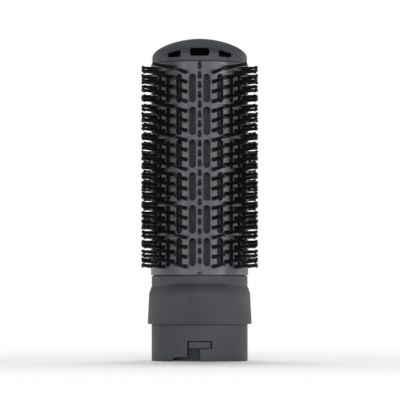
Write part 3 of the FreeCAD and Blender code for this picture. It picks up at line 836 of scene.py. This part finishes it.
SOCKET_RADIUS = 27.4 * MM
SOCKET_BORE = SOCKET_RADIUS - 2.4 * MM
SOCKET_TOP = 31.0 * MM
SOCKET_STEP = COLLAR_FOOT - 0.02 * MM
SOCKET_SIDES = 160
SOCKET_CUT = (15 * MM, 40 * MM)
TRACK_FLOOR = 7.1 * MM
TRACK_CEILING = 11.7 * MM
TRACK_REACH = 7.0 * MM
TRACK_ENTRY = 0.3 * MM
UNDER_RIM = -2 * MM
LINER_RADIUS = 23.5 * MM
LINER_WALL = 1.6 * MM
LINER_FOOT = 0.4 * MM
PAD_RADIUS = SOCKET_RADIUS - 1.1 * MM
PAD_EDGE = 0.12 * MM
PAD_CUTS = 12


def turned_body(name, profile):
    """A closed body of revolution from a profile of radii and heights."""
    rings = []
    for radius, height in profile:
        ring = []
        for i in range(SOCKET_SIDES):
            angle = 2 * math.pi * i / SOCKET_SIDES
            ring.append(Vector((radius * math.cos(angle), radius * math.sin(angle), height)))
        rings.append(ring)
    bm = bmesh.new()
    close_rings(bm, rings)
    return add_object(name, bm, 30)


def track_outline():
    """The L of the track, from under the rim up; its two lowest corners stay sharp."""
    cuts = 3
    corners = [
        (-TRACK_REACH, UNDER_RIM),
        (TRACK_ENTRY, UNDER_RIM),
        (TRACK_ENTRY, TRACK_FLOOR),
        (TRACK_REACH, TRACK_FLOOR),
        (TRACK_REACH, TRACK_CEILING),
        (-TRACK_REACH, TRACK_CEILING),
    ]
    return corners[:2] + rounded(corners, 0.4 * MM, cuts)[2 * (cuts + 1):]


def notch_outline():
    """The notch in the rim, with one corner cut off."""
    far = -15.4 * MM
    near = -6.5 * MM
    top = 2.5 * MM
    return [
        (far, UNDER_RIM), (near, UNDER_RIM), (near, top), (-13.4 * MM, top), (far, 1.1 * MM)
    ]


def make_socket():
    socket = turned_body("socket_tube", [
        (SOCKET_BORE + 0.5 * MM, 0.0),
        (SOCKET_RADIUS - 0.5 * MM, 0.0),
        (SOCKET_RADIUS - 0.12 * MM, 0.16 * MM),
        (SOCKET_RADIUS, 0.55 * MM),
        (SOCKET_RADIUS, SOCKET_STEP),
        (SOCKET_RADIUS - 0.5 * MM, SOCKET_STEP),
        (SOCKET_RADIUS - 0.5 * MM, SOCKET_TOP),
        (SOCKET_BORE, SOCKET_TOP),
        (SOCKET_BORE, 0.5 * MM),
    ])
    cutters = []
    for end in (-1, 1):
        for outline in (track_outline(), notch_outline()):
            turned = [(-end * x, z) for x, z in outline]
            cutters.append(upright_prism("track_cutter", turned, end, *SOCKET_CUT))
    carve(socket, cutters, 30)
    finish_piece(socket, HOUSING, "housing", "bayonet_socket")


def add_pad(bm, end):
    """A block bent round the axis in a track's level run, with its outer edges taken off."""
    half = TRACK_REACH - 0.45 * MM
    foot = TRACK_FLOOR + 0.4 * MM
    top = TRACK_CEILING - 0.6 * MM
    rings = []
    for radius, trim in (
        (LINER_RADIUS - 0.2 * MM, 0.0),
        (PAD_RADIUS - PAD_EDGE, 0.0),
        (PAD_RADIUS, PAD_EDGE),
    ):
        ring = []
        for k in range(PAD_CUTS + 1):
            ring.append(((half - trim) * (1 - 2 * k / PAD_CUTS), foot + trim))
        for k in range(PAD_CUTS + 1):
            ring.append(((half - trim) * (2 * k / PAD_CUTS - 1), top - trim))
        angles = [(x / SOCKET_RADIUS, z) for x, z in ring]
        rings.append([
            Vector((radius * math.sin(angle), end * radius * math.cos(angle), z))
            for angle, z in angles
        ])
    rows = join_rings(bm, rings)
    last = 2 * PAD_CUTS + 1
    for row in (rows[0], rows[-1]):
        for k in range(PAD_CUTS):
            bm.faces.new((row[k], row[k + 1], row[last - 1 - k], row[last - k]))


def make_liner():
    liner = turned_body("liner_tube", [
        (LINER_RADIUS - LINER_WALL, LINER_FOOT),
        (LINER_RADIUS - 0.3 * MM, LINER_FOOT),
        (LINER_RADIUS, LINER_FOOT + 0.3 * MM),
        (LINER_RADIUS, SOCKET_TOP),
        (LINER_RADIUS - LINER_WALL, SOCKET_TOP),
    ])
    # The liner's dark colour is painted shade in the track entries and rim notches.
    finish_piece(liner, LINER_WITH_SHADE, "liner", "socket_liner")
    bm = bmesh.new()
    for end in (-1, 1):
        add_pad(bm, end)
    pads = add_object("liner_pads", bm, 30)
    finish_piece(pads, HOUSING, "liner", "socket_liner")


# Seam: the sleeve's joint, a thin bead up its front below the pins.

SEAM_FOOT = NOTCH_TOP + 0.1 * MM
SEAM_TOP = SLOT_FOOT + 1.0 * MM
SEAM_HALF = 0.45 * MM
SEAM_DEPTH = 0.06 * MM
SEAM_RISE = 0.38 * MM
SEAM_CUTS = 6


def make_seam():
    bm = bmesh.new()
    rings = []
    for height in (SEAM_FOOT, SEAM_TOP):
        ring = []
        for k in range(SEAM_CUTS + 1):
            angle = math.pi * k / SEAM_CUTS
            x = SEAM_HALF * math.cos(angle)
            depth = SEAM_DEPTH - SEAM_RISE * math.sin(angle)
            ring.append(on_sleeve(x / STEP_LENGTH, height, depth))
        rings.append(ring)
    rows = join_rings(bm, rings)
    for row in rows:
        bm.faces.new(row)
    seam = add_object("sleeve_seam", bm, 50)
    finish_piece(seam, SLEEVE, "sleeve", "barrel_sleeve")


# Screen: a fine dark mesh between the duct and the sleeve, which shows through the slots.

SCREEN_DEPTH = 6.2 * MM
SCREEN_WALL = 0.5 * MM
SCREEN_FOOT = SLEEVE_FOOT + 3.2 * MM
SCREEN_TOP = SLEEVE_TOP - 4.4 * MM


def make_screen():
    bm = bmesh.new()
    rings = []
    for depth, height in (
        (SCREEN_DEPTH, SCREEN_FOOT),
        (SCREEN_DEPTH, SCREEN_TOP),
        (SCREEN_DEPTH + SCREEN_WALL, SCREEN_TOP),
        (SCREEN_DEPTH + SCREEN_WALL, SCREEN_FOOT),
    ):
        rings.append([on_sleeve(step, height, depth) for step in FINE_STEPS])
    close_rings(bm, rings)
    screen = add_object("air_screen", bm, 30)
    finish_piece(screen, SCREEN, "duct")


# Studio: a white floor and world, soft lamps, and the camera.

FLOOR_REACH = 6.0
FLOOR_WHITE = (0.12, 1.0)
FLOOR_WHITE_FROM = (0.07, 0.5)

# The world's level in front, at the sides and behind, and the steepness, as the Z of a
# direction, over which front and rear fade to the level at the sides.
WORLD_FRONT = 1.0
WORLD_SIDE = 0.035
WORLD_REAR = 0.4
WORLD_STEEP = (0.15, 0.6)

LAMP_AIM = (0, 0, 0.09)
TOP_LAMP_AIM = (0, 0, 0.1)


def grey(level):
    return (level, level, level, 1)


def combine(tree, operation, *values):
    """The result of a Math node."""
    node = tree.nodes.new("ShaderNodeMath")
    node.operation = operation
    for value, socket in zip(values, node.inputs):
        tree.links.new(value, socket)
    return node.outputs["Value"]


def white_share(tree, amount, shader, white, output):
    """Shows plain white to the camera, in mirrors and through glass, over a share of a shader."""
    path = tree.nodes.new("ShaderNodeLightPath").outputs
    seen = combine(tree, "MAXIMUM", path["Is Camera Ray"], path["Is Transmission Ray"])
    seen = combine(tree, "MAXIMUM", seen, path["Is Glossy Ray"])
    mix_shaders(tree, combine(tree, "MULTIPLY", seen, amount), shader, white, output)


def mix_shaders(tree, factor, shader, white, output):
    mix = tree.nodes.new("ShaderNodeMixShader")
    tree.links.new(factor, mix.inputs["Fac"])
    tree.links.new(shader, mix.inputs[1])
    tree.links.new(white, mix.inputs[2])
    tree.links.new(mix.outputs["Shader"], output.inputs["Surface"])


def make_floor():
    """A white floor: near the object it takes its shadow, and further out it is plain white."""
    bm = bmesh.new()
    signs = ((-1, -1), (1, -1), (1, 1), (-1, 1))
    bm.faces.new([bm.verts.new((x * FLOOR_REACH, y * FLOOR_REACH, 0)) for x, y in signs])
    floor = add_object("studio_floor", bm)
    material = bpy.data.materials.new("studio_white")
    material.use_nodes = True
    tree = material.node_tree
    nodes = tree.nodes
    shader = nodes["Principled BSDF"]
    shader.inputs["Base Color"].default_value = grey(0.9)
    shader.inputs["Roughness"].default_value = 0.9
    place = nodes.new("ShaderNodeTexCoord")
    distance = nodes.new("ShaderNodeVectorMath")
    distance.operation = "LENGTH"
    tree.links.new(place.outputs["Object"], distance.inputs[0])
    distance = distance.outputs["Value"]
    amount = remap(tree, distance, FLOOR_WHITE_FROM, FLOOR_WHITE, "SMOOTHSTEP")
    white = nodes.new("ShaderNodeEmission")
    white.inputs["Color"].default_value = grey(1)
    shown = (shader.outputs["BSDF"], white.outputs["Emission"], nodes["Material Output"])
    white_share(tree, amount, *shown)
    floor.data.materials.append(material)


def make_world():
    """A soft world, brighter low down in front and behind than at the sides and overhead.

    The camera sees it plain white, and mirrors see white over a share that follows its level.
    """
    world = bpy.data.worlds.new("studio")
    bpy.context.scene.world = world
    world.use_nodes = True
    tree = world.node_tree
    nodes = tree.nodes
    place = nodes.new("ShaderNodeTexCoord")
    axes = nodes.new("ShaderNodeSeparateXYZ")
    tree.links.new(place.outputs["Generated"], axes.inputs["Vector"])
    steep = combine(tree, "ABSOLUTE", axes.outputs["Z"])
    flat = remap(tree, steep, WORLD_STEEP, (1, 0))
    along = combine(tree, "MULTIPLY", axes.outputs["Y"], flat)
    level = nodes.new("ShaderNodeValToRGB")
    ramp = level.color_ramp
    ramp.interpolation = "B_SPLINE"
    first, last = ramp.elements
    first.position = 0.0
    first.color = grey(WORLD_FRONT)
    last.position = 1.0
    last.color = grey(WORLD_REAR)
    for position in (0.4, 0.6):
        side = ramp.elements.new(position)
        side.color = grey(WORLD_SIDE)
    tree.links.new(remap(tree, along, (-1, 1), (0, 1)), level.inputs["Fac"])
    level = level.outputs["Color"]
    light = nodes["Background"]
    tree.links.new(level, light.inputs["Color"])
    white = nodes.new("ShaderNodeBackground")
    white.inputs["Color"].default_value = grey(1)
    path = nodes.new("ShaderNodeLightPath").outputs
    mirrored = combine(tree, "MULTIPLY", path["Is Glossy Ray"], level)
    seen = combine(tree, "MAXIMUM", path["Is Camera Ray"], path["Is Transmission Ray"])
    factor = combine(tree, "MAXIMUM", seen, mirrored)
    shown = (light.outputs["Background"], white.outputs["Background"], nodes["World Output"])
    mix_shaders(tree, factor, *shown)


def add_lamp(name, place, target, width, height, power, glossy=True):
    """A soft lamp that faces its target; glossy says whether mirrors show it."""
    data = bpy.data.lights.new(name, "AREA")
    data.shape = "RECTANGLE"
    data.size = width
    data.size_y = height
    data.energy = power
    lamp = bpy.data.objects.new(name, data)
    lamp.location = place
    lamp.rotation_euler = (Vector(target) - Vector(place)).to_track_quat("-Z", "Y").to_euler()
    lamp.visible_glossy = glossy
    bpy.context.scene.collection.objects.link(lamp)


def make_camera():
    """A long lens, level with the collar's shoulder, shifted up to take in the whole head."""
    aside = 0.0002
    distance = 2.0
    view_width = 0.2282
    horizon = 0.0408
    middle = 0.0917
    sensor = 36
    data = bpy.data.cameras.new("camera")
    data.sensor_width = sensor
    data.lens = sensor * distance / view_width
    data.shift_y = (middle - horizon) / view_width
    camera = bpy.data.objects.new("camera", data)
    camera.location = (aside, -distance, horizon)
    camera.rotation_euler = (math.pi / 2, 0, 0)
    bpy.context.scene.collection.objects.link(camera)
    bpy.context.scene.camera = camera


make_sleeve()
make_strips()
make_cap()
make_collar()
make_socket()
make_liner()
make_seam()
make_screen()

make_floor()
make_world()

# Lamps: name, place, aim, width, height, power, and whether mirrors show it.
add_lamp("lamp_front", (0, -1.2, 0.35), LAMP_AIM, 0.7, 0.7, 14, False)
add_lamp("lamp_front_left", (-0.95, -0.95, 0.3), LAMP_AIM, 0.5, 0.9, 0.9)
add_lamp("lamp_front_right", (0.95, -0.95, 0.3), LAMP_AIM, 0.5, 0.9, 1.1)
add_lamp("lamp_strip", (1.1, -0.49, 0.15), LAMP_AIM, 0.05, 0.9, 2)
add_lamp("lamp_left", (-0.8, 0.5, 0.35), LAMP_AIM, 0.5, 0.9, 0.7)
add_lamp("lamp_right", (0.8, 0.5, 0.35), LAMP_AIM, 0.5, 0.9, 0.8)
add_lamp("lamp_top", (0, 0.6, 1.05), TOP_LAMP_AIM, 0.7, 0.7, 11, False)
make_camera()

bpy.context.scene.view_settings.view_transform = "Standard"

bpy.context.view_layer.update()
